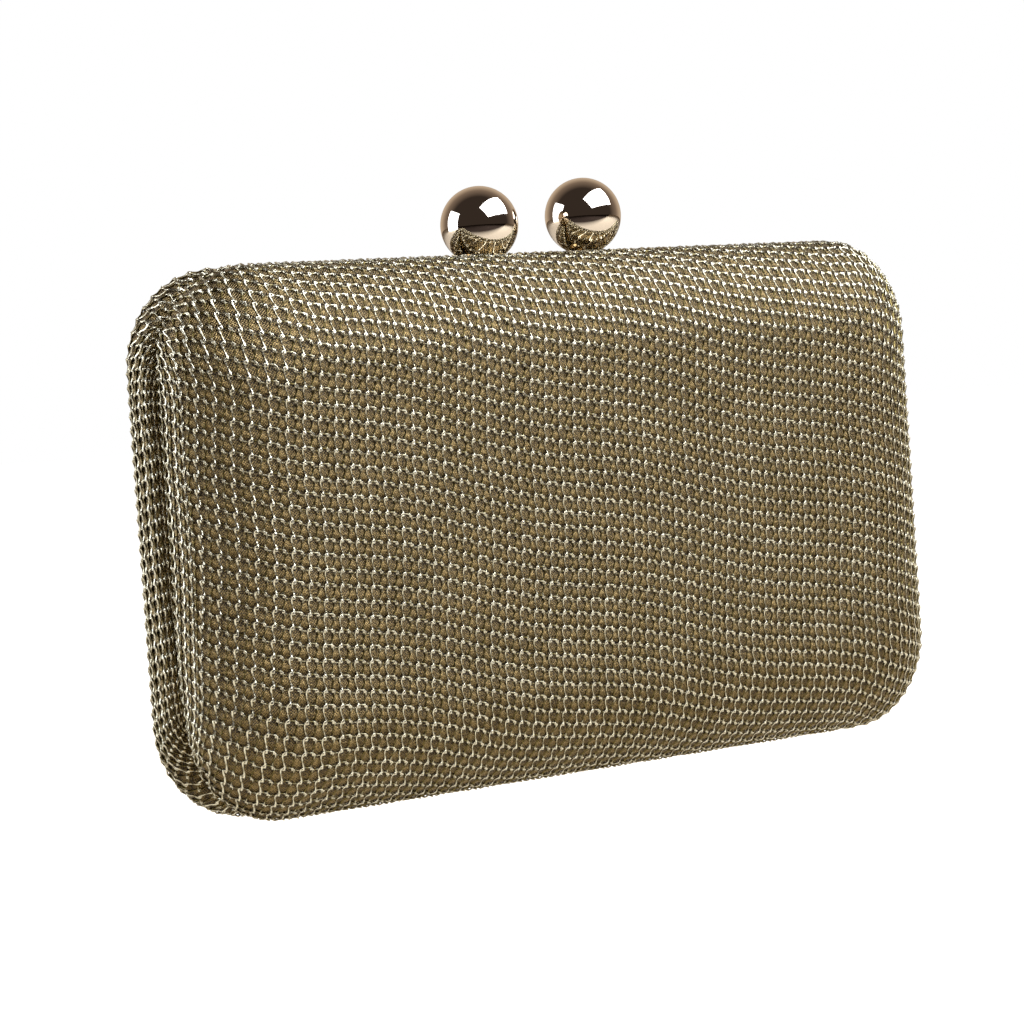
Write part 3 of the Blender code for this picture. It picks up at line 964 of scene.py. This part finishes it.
    def section(self) -> Object:
        """Makes the yarn's cross-section: two plies side by side, drawn with six points."""
        waist, half_width = 0.55, 1.75
        corners = [(1.0, -half_width), (waist, 0.0), (1.0, half_width),
                   (-1.0, half_width), (-waist, 0.0), (-1.0, -half_width)]
        mesh = bpy.data.meshes.new("yarn_section")
        verts = [(x * self.ply_radius, y * self.ply_radius, 0.0) for x, y in corners]
        mesh.from_pydata(verts, [(k, (k + 1) % len(verts)) for k in range(len(verts))], [])
        section = bpy.data.objects.new("yarn_section", mesh)
        show(section)
        return section

    def build(self, half: Half) -> list[Object]:
        """Knits one half.

        Args:
            half: the half to cover.

        Returns:
            The half's bands of courses, from the bottom to the top.
        """
        guide = loft("guide", [self.shape.skin(self.shape.profile(0.0), half, self.shape.dome)], half)
        section = self.section()
        each = self.courses // self.bands
        pieces = []
        for band in range(self.bands):
            piece = grow(f"{half.label}_knit_band_{band + 1}", self.tree, {
                "Guide": guide, "Section": section, "First Course": band * each, "Courses": each,
                "All Courses": self.courses, "Wales": self.wales, "Points": self.points_per_stitch,
                "Seed": 0.37 * half.value, "Stitch": (self.chart.wale, self.chart.course, 0.0),
                "Loop": (self.loop_lean, -self.loop_height / 2, -self.rise),
                "Slant": (self.slant, 0.0, -self.crest), "Flatness": self.flatness,
                "Depth": -self.depth, "Turn": math.radians(self.turn), "Jitter": self.jitter,
                "Material": self.yarn,
            })
            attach(piece, half.body)
            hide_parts(half.node("knit_cover"))
            pieces.append(piece)
            log.info("%s: %d faces", piece.name, len(piece.data.polygons))
        for helper in (guide, section):
            bpy.data.objects.remove(helper)
        return pieces


# ---------------------------------------------------------------- layers under the knit


@dataclass
class LayerStack:
    """The nested layers of one half: backing cloth, wadding, moulded shell."""

    shape: PillowShape
    cloth: Material
    foam: Material
    board: Material
    cloth_depths: tuple[float, float] = (0.72 * MM, 1.5 * MM)  # puffed up from 1.2 mm, into the meshes
    foam_depths: tuple[float, float] = (1.8 * MM, 2.8 * MM)
    board_depths: tuple[float, float] = (3.1 * MM, 4.3 * MM)

    def layer(self, half: Half, piece: str, depths: tuple[float, float], material: Material,
              slot: str) -> Object:
        """Makes one closed layer in the place of its CAD node.

        Args:
            half: the half that it belongs to.
            piece: the last part of the CAD node's name.
            depths: the depths of its outer and its inner skin.
            material: its finish.
            slot: the word that names the layer's piece.

        Returns:
            The layer.
        """
        skins = [self.shape.skin(self.shape.profile(d), half, self.shape.dome) for d in depths]
        obj = loft(f"{half.label}_{slot}_layer", skins, half)
        obj.data.materials.append(material)
        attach(obj, half.body)
        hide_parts(half.node(piece))
        log.info("%s: %d faces", obj.name, len(obj.data.polygons))
        return obj

    def build(self, half: Half, knit: Sequence[Object]) -> None:
        """Args:
            half: the half to build.
            knit: the bands of knit that lie on its cloth; not used.
        """
        cloth = self.layer(half, "backing_cloth", self.cloth_depths, self.cloth, "gold_lame")
        foam = self.layer(half, "wadding", self.foam_depths, self.foam, "wadding")
        self.layer(half, "moulded_shell", self.board_depths, self.board, "shell_board")
        flat = self.shape.flat_size(self.shape.profile(self.cloth_depths[0]))


# ---------------------------------------------------------------- metalwork


def turned(bm: bmesh.types.BMesh, profile: Sequence[tuple[float, float]], centre: tuple[float, float],
           steps: int) -> None:
    """Adds a body turned about a vertical axis to a bmesh.

    Args:
        bm: the bmesh that gets it.
        profile: (radius, z) points, the first and last of them on the axis.
        centre: the axis's x and y.
        steps: how many facets it has round the axis.
    """
    x0, y0 = centre
    poles = [bm.verts.new((x0, y0, z)) for _, z in (profile[0], profile[-1])]
    rings = [
        [bm.verts.new((x0 + r * math.cos(math.tau * k / steps), y0 + r * math.sin(math.tau * k / steps), z))
         for k in range(steps)]
        for r, z in profile[1:-1]
    ]
    for first, second in zip(rings, rings[1:]):
        for face in quads(first, second):
            bm.faces.new(face)
    for pole, ring in zip(poles, (rings[0], rings[-1])):
        for k in range(steps):
            bm.faces.new((pole, ring[k], ring[(k + 1) % steps]))


@dataclass
class KissLock:
    """The two balls on their posts, each on an arm that hooks over the other half's frame."""

    plating: Material
    mirror: Material
    ball_steps: int = 72
    bore_radius: float = 1.9 * MM
    collar_radius: float = 2.6 * MM
    collar_height: float = 0.9 * MM
    tail_radius: float = 0.8 * MM
    bore_end: float = 1.2 * MM
    foot: float = 0.3 * MM
    ease: float = 0.15 * MM
    post_steps: int = 32
    sharp: float = math.radians(50)

    def build(self, half: Half) -> None:
        """Builds one half's ball and post, and dresses its arm."""
        self.ball(half)
        self.post(half)
        dress_metal(half.node("clasp_arm"), self.plating)

    def ball(self, half: Half) -> None:
        """Makes the polished ball, open underneath where the post goes in."""
        low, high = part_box(half.node("ball"))
        x, y = (low[0] + high[0]) / 2, (low[1] + high[1]) / 2
        radius = (high[0] - low[0]) / 2
        centre = high[2] - radius
        stop = math.asin(self.bore_radius / radius)
        steps = self.ball_steps // 2
        profile = [(0.0, high[2])]
        for k in range(1, steps + 1):
            angle = (math.pi - stop) * k / steps
            profile.append((radius * math.sin(angle), centre + radius * math.cos(angle)))
        bore_end = centre - self.bore_end
        profile += [(self.bore_radius, bore_end), (0.0, bore_end)]
        bm = bmesh.new()
        turned(bm, profile, (x, y), self.ball_steps)
        obj = link_mesh(f"{half.label}_polished_ball", bm)
        obj.data.set_sharp_from_angle(angle=self.sharp)
        obj.data.materials.append(self.mirror)
        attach(obj, half.body)
        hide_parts(half.node("ball"))

    def post(self, half: Half) -> None:
        """Makes the post, with a collar where it stands on its arm."""
        low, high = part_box(half.node("ball_post"))
        _, arm_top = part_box(half.node("clasp_arm"))
        x, y, radius = (low[0] + high[0]) / 2, (low[1] + high[1]) / 2, (high[0] - low[0]) / 2
        foot, ease, collar = arm_top[2] + self.foot, self.ease, self.collar_radius
        shoulder = foot + self.collar_height
        profile = [
            (0.0, high[2]), (radius - ease, high[2]), (radius, high[2] - ease),
            (radius, shoulder + ease), (radius + ease, shoulder), (collar - ease, shoulder),
            (collar, shoulder - ease), (collar, foot + ease), (collar - ease, foot),
            (self.tail_radius, foot), (self.tail_radius, low[2]), (0.0, low[2]),
        ]
        bm = bmesh.new()
        turned(bm, profile, (x, y), self.post_steps)
        obj = link_mesh(f"{half.label}_turned_post", bm)
        obj.data.set_sharp_from_angle(angle=self.sharp)
        obj.data.materials.append(self.plating)
        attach(obj, half.body)
        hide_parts(half.node("ball_post"))


def dress_metal(node: str, material: Material) -> None:
    """Gives a CAD node its finish, through its material slots only.

    Args:
        node: the CAD node's name.
        material: its finish.
    """
    for slot in bpy.data.objects[node].material_slots:
        slot.material = material


@dataclass
class Frame:
    """The two frame rings, folded from strip into a bar and an inner wall, seen when the bag is open."""

    shape: PillowShape
    plating: Material
    seam_y: float = 0.15 * MM
    bar_y: float = 2.6 * MM
    wall_y: float = 8.0 * MM
    wall: tuple[float, float] = (9.1 * MM, 10.1 * MM)
    edge: float = 0.25 * MM
    sharp: float = math.radians(40)

    def build(self, half: Half) -> None:
        """Sweeps the frame's section round the outline."""
        outer, (wall_out, wall_in) = self.shape.groove_depth, self.wall
        corners = [
            (outer, self.seam_y), (wall_in, self.seam_y), (wall_in, self.wall_y),
            (wall_out, self.wall_y), (wall_out, self.bar_y), (outer, self.bar_y),
        ]
        bm = bmesh.new()
        loops = []
        for inset, away in corners:
            outline = self.shape.outline(inset)
            y, middle = half.value * away, self.shape.height / 2
            loops.append([bm.verts.new((x, y, z + middle)) for x, z in outline])
        for first, second in zip(loops, loops[1:] + loops[:1]):
            for face in quads(first, second):
                bm.faces.new(face)
        obj = link_mesh(f"{half.label}_frame_ring", bm)
        obj.data.set_sharp_from_angle(angle=self.sharp)
        bevel = obj.modifiers.new("edges", "BEVEL")
        bevel.width = self.edge
        bevel.segments = 2
        bevel.limit_method = "ANGLE"
        bevel.angle_limit = self.sharp
        bevel.harden_normals = True
        obj.data.materials.append(self.plating)
        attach(obj, half.body)
        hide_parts(half.node("frame"))


@dataclass
class Hinge:
    """The two bottom hinges: a leaf on each half, and a pin through the knuckles."""

    plating: Material

    def build(self) -> None:
        """Dresses the leaves and the pins."""
        for place in ("left", "right"):
            for half in Half:
                dress_metal(half.node(f"hinge_leaf_{place}"), self.plating)
            dress_metal(f"hinge_pin_{place}", self.plating)


@dataclass
class Screws:
    """The dome-headed slotted screws that hold the arms and the hinge leaves to the frames."""

    plating: Material
    head_radius: float = 1.05 * MM
    head_height: float = 0.6 * MM
    shank_radius: float = 0.55 * MM
    shank_length: float = 4.2 * MM
    slot_width: float = 0.28 * MM
    slot_depth: float = 0.25 * MM
    steps: int = 24
    dome_steps: int = 5
    sharp: float = math.radians(35)

    def template(self) -> Object:
        """Makes one screw, head up, with the seat of its head at the origin."""
        profile = [(0.0, self.head_height)]
        for k in range(1, self.dome_steps + 1):
            angle = math.pi / 2 * k / self.dome_steps
            profile.append((self.head_radius * math.sin(angle),
                            self.head_height * (0.4 + 0.6 * math.cos(angle))))
        profile += [(self.head_radius, 0.0), (self.shank_radius, 0.0),
                    (self.shank_radius, -self.shank_length), (0.0, -self.shank_length)]
        bm = bmesh.new()
        turned(bm, profile, (0.0, 0.0), self.steps)
        screw = link_mesh("screw_template", bm)
        bm = bmesh.new()
        bmesh.ops.create_cube(bm, size=1.0)
        reach = 2.4 * self.head_radius
        bmesh.ops.scale(bm, vec=(reach, self.slot_width, 2 * self.slot_depth), verts=bm.verts)
        bmesh.ops.translate(bm, vec=(0, 0, self.head_height), verts=bm.verts)
        cutter = link_mesh("slot_cutter", bm)
        cut = screw.modifiers.new("slot", "BOOLEAN")
        cut.operation = "DIFFERENCE"
        cut.object = cutter
        evaluated = screw.evaluated_get(bpy.context.evaluated_depsgraph_get())
        mesh = bpy.data.meshes.new_from_object(evaluated)
        screw.modifiers.clear()
        screw.data = mesh
        mesh.set_sharp_from_angle(angle=self.sharp)
        bpy.data.objects.remove(cutter)
        return screw

    def make_tree(self) -> Tree:
        """Builds the tree that puts a screw on each point, turned as the point's attributes say."""
        tree, given = start_tree("screw_set", {
            "Places": "NodeSocketObject", "Screw": "NodeSocketObject", "Material": "NodeSocketMaterial",
        })
        places = shape_of(tree, given.outputs["Places"])
        screw = shape_of(tree, given.outputs["Screw"], **{"As Instance": True})
        turn = carried(tree, "turn", "FLOAT_VECTOR")
        put = add(tree, "GeometryNodeInstanceOnPoints",
                  {"Points": places, "Instance": screw, "Rotation": turn})
        real = add(tree, "GeometryNodeRealizeInstances", [put])
        painted = add(tree, "GeometryNodeSetMaterial",
                      {"Geometry": real, "Material": given.outputs["Material"]})
        add(tree, "NodeGroupOutput", [painted])
        return tree

    def build(self) -> None:
        """Places each half's six screws where the CAD screws are."""
        template, tree = self.template(), self.make_tree()
        rng = np.random.default_rng(7)
        for half in Half:
            names = [half.node(f"clasp_screw_{s}") for s in ("left", "right")]
            ends = [(s, e) for s in ("left", "right") for e in ("outer", "inner")]
            names += [half.node(f"hinge_screw_{s}_{e}") for s, e in ends]
            points, turns = [], []
            for name in names:
                low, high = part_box(name)
                over = name.startswith(half.node("clasp"))
                seat = high[2] - self.head_height if over else low[2] + self.head_height
                points.append(((low[0] + high[0]) / 2, (low[1] + high[1]) / 2, seat))
                turns += [0.0 if over else math.pi, 0.0, rng.uniform(0, math.pi)]
            mesh = bpy.data.meshes.new("screw_places")
            mesh.from_pydata(points, [], [])
            mesh.attributes.new("turn", "FLOAT_VECTOR", "POINT").data.foreach_set("vector", turns)
            places = bpy.data.objects.new("screw_places", mesh)
            show(places)
            obj = grow(f"{half.label}_screws", tree,
                       {"Places": places, "Screw": template, "Material": self.plating})
            bpy.data.objects.remove(places)
            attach(obj, half.body)
            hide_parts(*names)
            log.info("%s: %d faces", obj.name, len(obj.data.polygons))
        bpy.data.objects.remove(template)


# ---------------------------------------------------------------- lining


@dataclass
class Lining:
    """The satin-covered trays, and the slip pocket stitched to the back one."""

    shape: PillowShape
    satin: Material
    thread: Material
    depths: tuple[float, float] = (4.6 * MM, 5.5 * MM)
    wall_inset: float = 10.4 * MM
    rim_y: float = 0.6 * MM
    clear: float = 0.5 * MM
    bend: float = 1.5 * MM
    hem: float = 7.0 * MM
    bulge: float = 1.4 * MM
    pocket_corner: float = 6.0 * MM
    pocket_gap: float = 0.1 * MM
    pocket_cloth: float = 0.45 * MM
    pocket_grid: tuple[int, int] = (56, 28)
    hem_fold: float = 0.3 * MM
    seam_in: float = 1.6 * MM
    stitch_mm: float = 2.4
    thread_mm: float = 0.2

    def section(self, depth: float) -> np.ndarray:
        """The tray's section at a depth, from the flat of the face to its rim."""
        wall = self.wall_inset + depth - self.depths[0]
        low, least = self.shape.crown[1], wall + self.clear
        curve = [p for p in self.shape.profile(depth) if p[0] > least and p[1] > low]
        turn = curve[-1][1] - self.bend
        down = [(wall, turn + (self.rim_y - turn) * k / 6) for k in range(7)]
        return np.array([tuple(p) for p in curve] + down)

    def tray(self, half: Half) -> None:
        """Makes one half's tray."""
        outer, inner = (self.section(d) for d in self.depths)
        count = min(len(outer), len(inner))
        skins = [self.shape.skin(s[len(s) - count :], half, 0.0) for s in (outer, inner)]
        obj = loft(f"{half.label}_satin_tray", skins, half)
        obj.data.materials.append(self.satin)
        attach(obj, half.body)
        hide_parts(half.node("lining_tray"))
        flat = self.shape.flat_size(inner)
        log.info("%s: %d faces", obj.name, len(obj.data.polygons))

    def pocket(self) -> None:
        """Makes the slip pocket, its mouth a little open, with its hem and its rows of stitches."""
        low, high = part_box("inner_pocket")
        half_width, bottom, top = (high[0] - low[0]) / 2, low[2], high[2]
        columns, rows = self.pocket_grid
        corner = self.pocket_corner

        def spread(t: float) -> float:
            """Half the pocket's width at a height t above its bottom."""
            if t >= corner:
                return half_width
            return half_width - corner + math.sqrt(max(corner**2 - (corner - t) ** 2, 0.0))

        def face(t: float, s: float) -> float:
            """How far the cloth stands off the lining, at height t and place s from -1 to 1."""
            share = t / (top - bottom)
            return self.bulge * share**2 * math.cos(s * math.pi / 2) ** 1.5

        bm = bmesh.new()
        uv = bm.loops.layers.uv.new(CHART_UV)
        skins = []
        heights = [corner * (1 - math.cos(math.pi / 2 * k / 8)) for k in range(9)]
        heights += [corner + (top - bottom - corner) * k / rows for k in range(1, rows + 1)]
        for lift in (0.0, self.pocket_cloth):
            grid = []
            for t in heights:
                row = []
                thick = lift + (self.hem_fold if lift and top - bottom - t < self.hem else 0.0)
                for k in range(columns + 1):
                    s = 2 * k / columns - 1
                    y = high[1] - self.pocket_gap - thick - face(t, s)
                    row.append(bm.verts.new((s * spread(t), y, bottom + t)))
                grid.append(row)
            skins.append(grid)
        back, front = skins
        for grid, order in ((back, 1), (front, -1)):
            for first, second in zip(grid, grid[1:]):
                for k in range(columns):
                    bm.faces.new((first[k], first[k + 1], second[k + 1], second[k])[::order])
        rim = [(back[0], front[0]), (back[-1], front[-1]), ([r[0] for r in back], [r[0] for r in front]),
               ([r[-1] for r in back], [r[-1] for r in front])]
        for first, second in rim:
            for k in range(len(first) - 1):
                bm.faces.new((first[k], first[k + 1], second[k + 1], second[k]))
        for f in bm.faces:
            for corner_loop in f.loops:
                p = corner_loop.vert.co
                corner_loop[uv].uv = (p.x / CHART_SPAN, p.z / CHART_SPAN)
        obj = link_mesh("slip_pocket", bm)
        obj.data.materials.append(self.satin)
        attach(obj, Half.BACK.body)
        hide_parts("inner_pocket")
        stitches = self.stitch_rows(low, high, spread, face)

    def stitch_rows(self, low: Any, high: Any, spread: Any, face: Any) -> Object:
        """Sews the pocket: a row round its sides and bottom, and two rows along its hem.

        Args:
            low: the lowest corner of the pocket's box.
            high: the highest corner of the pocket's box.
            spread: half the pocket's width at a height.
            face: how far the cloth stands off at a height and a place.

        Returns:
            The stitches, as one piece.
        """
        bottom, top = low[2], high[2]
        tall = top - bottom
        routes = []
        side = [(-1, tall - k * 1.0 * MM) for k in range(int(tall / MM - self.pocket_corner / MM))]
        route = [(s * (spread(t) - self.seam_in), t) for s, t in side]
        steps = 12
        arc = self.pocket_corner - self.seam_in
        middle = (spread(tall) - self.pocket_corner, self.pocket_corner)
        route += [(-(middle[0] + arc * math.cos(math.pi / 2 * k / steps)),
                   middle[1] - arc * math.sin(math.pi / 2 * k / steps)) for k in range(steps + 1)]
        route += [(-x, t) for x, t in reversed(route)]
        routes.append(route)
        for t in (tall - self.hem - 0.4 * MM, tall - 1.2 * MM):
            edge = spread(t) - self.seam_in
            routes.append([(-edge + 2 * edge * k / 60, t) for k in range(61)])
        tree, given = start_tree("stitches", {
            "Path": "NodeSocketObject", "Stitch": "NodeSocketFloat", "Thread": "NodeSocketFloat",
            "Material": "NodeSocketMaterial",
        })
        g = given.outputs
        line = add(tree, "GeometryNodeMeshToCurve", {0: shape_of(tree, g["Path"])})
        seats = add(tree, "GeometryNodeCurveToPoints",
                    {"Curve": line, "Length": g["Stitch"]}, mode="LENGTH")
        short = calc(tree, "MULTIPLY", g["Stitch"], 0.8)
        bead = add(tree, "GeometryNodeMeshUVSphere", {"Segments": 6, "Rings": 5, "Radius": 0.5})
        size = add(tree, "ShaderNodeCombineXYZ", [g["Thread"], g["Thread"], short])
        shaped = add(tree, "GeometryNodeTransform", {"Geometry": bead.outputs["Mesh"], "Scale": size})
        put = add(tree, "GeometryNodeInstanceOnPoints",
                  {"Points": seats.outputs["Points"], "Instance": shaped,
                   "Rotation": seats.outputs["Rotation"]})
        end_tree(tree, put, g["Material"])
        mesh = bpy.data.meshes.new("stitch_path")
        verts, edges = [], []
        for route in routes:
            start = len(verts)
            for x, t in route:
                y = high[1] - 0.55 * MM - face(t, x / spread(t)) - self.hem_fold * (tall - t < self.hem)
                verts.append((x, y, bottom + t))
            edges += [(i, i + 1) for i in range(start, len(verts) - 1)]
        mesh.from_pydata(verts, edges, [])
        guide = bpy.data.objects.new("stitch_path", mesh)
        show(guide)
        obj = grow("pocket_stitches", tree, {
            "Path": guide, "Stitch": self.stitch_mm * MM, "Thread": self.thread_mm * 1.6 * MM,
            "Material": self.thread,
        })
        bpy.data.objects.remove(guide)
        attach(obj, Half.BACK.body)
        log.info("%s: %d faces", obj.name, len(obj.data.polygons))
        return obj

    def build(self) -> None:
        """Builds both trays and the pocket."""
        for half in Half:
            self.tray(half)
        self.pocket()


# ---------------------------------------------------------------- studio


@dataclass(frozen=True)
class Softbox:
    """One soft area light, placed by its direction from the bag."""

    name: str
    azimuth: float
    elevation: float
    distance: float
    size: tuple[float, float]
    watts: float
    colour: str = "#ffffff"

    def build(self, target: Vector) -> None:
        """Hangs the light so that it faces the target."""
        a, e = math.radians(self.azimuth), math.radians(self.elevation)
        away = Vector((math.sin(a) * math.cos(e), -math.cos(a) * math.cos(e), math.sin(e)))
        data = bpy.data.lights.new(self.name, "AREA")
        data.shape = "RECTANGLE"
        data.size, data.size_y = self.size
        data.energy = self.watts
        data.color = srgb(self.colour)[:3]
        lamp = bpy.data.objects.new(self.name, data)
        lamp.location = target + away * self.distance
        lamp.rotation_mode = "QUATERNION"
        lamp.rotation_quaternion = away.to_track_quat("Z", "Y")
        lamp.visible_camera = False
        show(lamp)


@dataclass
class Studio:
    """A pale floor, a room that is dark in front and light behind, two soft lights and the camera."""

    azimuth: float = -37.07
    elevation: float = 2.43
    roll: float = -3.93
    distance: float = 0.722
    lens: float = 111.6
    sensor: float = 36.0
    left_of_middle: float = 9.03 * MM
    dark_side: str = "#3a322e"
    wall_side: str = "#c9b6a2"
    between: str = "#86766a"
    paper: str = "#ffffff"
    drop: float = 26 * MM
    table_reach: tuple[float, float] = (0.2, 0.4)
    lights: tuple[Softbox, ...] = (
        Softbox("left_panel", -122, 12, 1.1, (0.75, 0.9), 10.5, "#e9f0ff"),
        Softbox("right_window", 28, 46, 1.3, (1.8, 1.0), 42.0, "#eaf0ff"),
    )

    @property
    def towards(self) -> tuple[float, float, float]:
        """The level direction from the bag to the camera."""
        a = math.radians(self.azimuth)
        return math.sin(a), -math.cos(a), 0.0

    def floor(self) -> None:
        """Makes the floor, set low enough to clear the front half when it is swung right down."""
        bm = bmesh.new()
        bmesh.ops.create_grid(bm, x_segments=1, y_segments=1, size=6.0)
        bmesh.ops.translate(bm, vec=(0, 0, -self.drop), verts=bm.verts)
        obj = link_mesh("studio_floor", bm)
        material, tree, shader = new_material("floor_paper")
        away = calc_vector(tree, "DOT_PRODUCT", own_place(tree), self.towards)
        share = add(tree, "ShaderNodeMapRange",
                    {"Value": away.outputs["Value"], "From Min": self.table_reach[0],
                     "From Max": self.table_reach[1]})
        colour = ramp(tree, share.outputs[0], (0.0, "#ddd3c1"), (1.0, self.dark_side))
        seen = add(tree, "ShaderNodeLightPath")
        glow = calc(tree, "MULTIPLY", seen.outputs["Is Camera Ray"], 0.95)
        feed(tree, shader, {"Base Color": colour, "Emission Strength": glow, "Roughness": 0.85,
                            "Specular IOR Level": 0.0, "Emission Color": srgb(self.paper)})
        obj.data.materials.append(material)

    def world(self) -> None:
        """Surrounds the bag with a dark room in front, a light wall behind and a white paper backdrop."""
        world = bpy.data.worlds.new("studio")
        world.use_nodes = True
        tree = world.node_tree
        place = add(tree, "ShaderNodeTexCoord")
        facing = calc_vector(tree, "DOT_PRODUCT", place.outputs["Generated"], self.towards)
        share = calc(tree, "MULTIPLY_ADD", facing.outputs["Value"], 0.5, 0.5)
        room = ramp(tree, share, (0.08, self.wall_side), (0.25, self.between), (0.5, self.dark_side))
        seen = add(tree, "ShaderNodeLightPath")
        backdrop = add(tree, "ShaderNodeMix", {0: seen.outputs["Is Camera Ray"], 6: room.outputs[0],
                                               7: srgb(self.paper)}, data_type="RGBA")
        tree.links.new(backdrop.outputs[2], tree.nodes["Background"].inputs["Color"])
        bpy.context.scene.world = world

    def camera(self, target: Vector) -> None:
        """Sets the camera up at the shot's angle, aimed a little left of the bag's middle."""
        a, e, r = (math.radians(v) for v in (self.azimuth, self.elevation, self.roll))
        back = Vector((math.sin(a) * math.cos(e), -math.cos(a) * math.cos(e), math.sin(e)))
        level = Vector((math.cos(a), math.sin(a), 0.0))
        right = math.cos(r) * level + math.sin(r) * back.cross(level)
        spot = target + back * self.distance
        forward = (target - right * self.left_of_middle - spot).normalized()
        right = (right - forward * right.dot(forward)).normalized()
        up = right.cross(forward)
        data = bpy.data.cameras.new("camera")
        data.lens, data.sensor_width = self.lens, self.sensor
        data.clip_start, data.clip_end = 0.05, 50.0
        camera = bpy.data.objects.new("camera", data)
        turn = Matrix((right, up, -forward)).transposed().to_4x4()
        camera.matrix_world = Matrix.Translation(spot) @ turn
        show(camera)
        bpy.context.scene.camera = camera

    def build(self, target: Vector) -> None:
        """Builds the whole studio round a target."""
        self.floor()
        self.world()
        for light in self.lights:
            light.build(target)
        self.camera(target)
        bpy.context.scene.view_settings.view_transform = "Standard"


def main() -> None:
    """Builds the dressed bag and its studio."""
    logging.basicConfig(level=logging.INFO, format="%(name)s %(message)s")
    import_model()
    shape = PillowShape.from_frame()
    yarn, satin = MetallicYarn().build(), Satin().build()
    plating = PlatedMetal("plated_frame", "#dcc79c", 0.16).build()
    mirror = PlatedMetal("mirror_ball", "#e6d9c6", 0.03, haze=0.02).build()
    screw_metal = PlatedMetal("plated_screw", "#cfae78", 0.24).build()
    chart = KnitChart()
    knit = KnitCover(shape, yarn, chart)
    stack = LayerStack(shape, GoldLame().build(chart), Wadding().build(), MouldedShell().build())
    lock, frame_ring = KissLock(plating, mirror), Frame(shape, plating)
    for half in Half:
        stack.build(half, knit.build(half))
        frame_ring.build(half)
        lock.build(half)
    Hinge(plating).build()
    Screws(screw_metal).build()
    Lining(shape, satin, SewingThread().build()).build()
    Studio().build(Vector((0.0, 0.0, shape.height / 2)))


if __name__ == "__main__":
    main()
